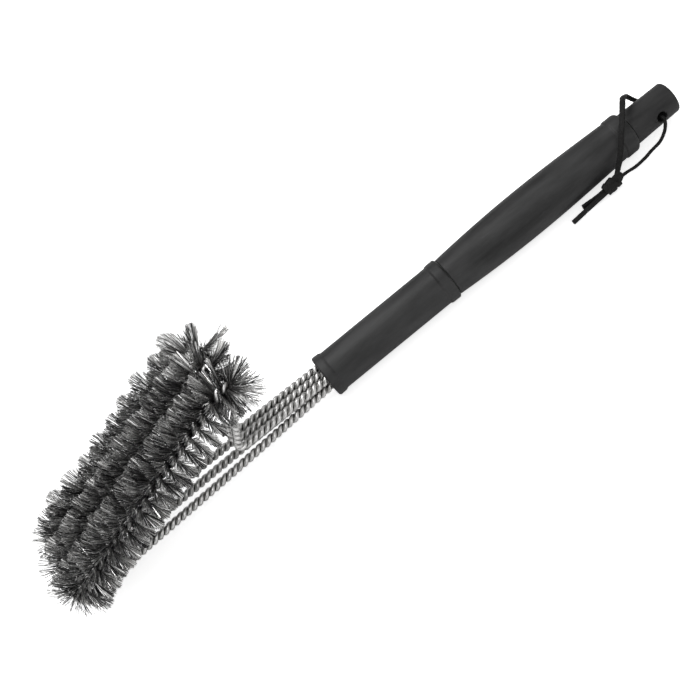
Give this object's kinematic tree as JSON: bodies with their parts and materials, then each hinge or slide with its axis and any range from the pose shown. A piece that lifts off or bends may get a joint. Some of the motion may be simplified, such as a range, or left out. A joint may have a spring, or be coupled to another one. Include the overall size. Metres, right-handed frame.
{
  "type": "grill cleaning brush",
  "caption": "Long-handled grill brush: wire bristle rows on twisted wire frames, tubular plastic handle, hang hole with a knotted lace.",
  "frame": {"origin": "centre of the butt end's flat face, on the handle's axis", "axes": "+X along the handle's axis, out of the butt end, so the brush head lies towards -X; +Z towards the side on which the bristle rows stand off the handle's axis; +Y completes a right-handed frame, across the rows"},
  "size_m": [0.4436, 0.0766, 0.0922],
  "materials": {
    "black_plastic": "matte moulded black",
    "plug_plastic": "matte moulded dark grey",
    "steel_wire": "drawn stainless wire, satin",
    "steel_bristles": "fine dark steel wire",
    "lace_leather": "matte black"
  },
  "bodies": {
    "root": {"front_sleeve": "black_plastic", "grip_sleeve": "black_plastic", "hang_end": "black_plastic", "rod_guide_plug": "plug_plastic", "rod_anchor_plug": "plug_plastic", "left_wire_a": "steel_wire", "left_wire_b": "steel_wire", "left_bristles": "steel_bristles", "middle_wire_a": "steel_wire", "middle_wire_b": "steel_wire", "middle_bristles": "steel_bristles", "right_wire_a": "steel_wire", "right_wire_b": "steel_wire", "right_bristles": "steel_bristles"},
    "hang_lace": {"hang_lace": "lace_leather"}
  },
  "joints": [
    {"name": "lace_swing", "type": "hinge", "parent": "root", "child": "hang_lace", "pos_m": [-0.013, 0, 0], "axis": [0, 1, 0], "range_deg": [0, 255]}
  ]
}
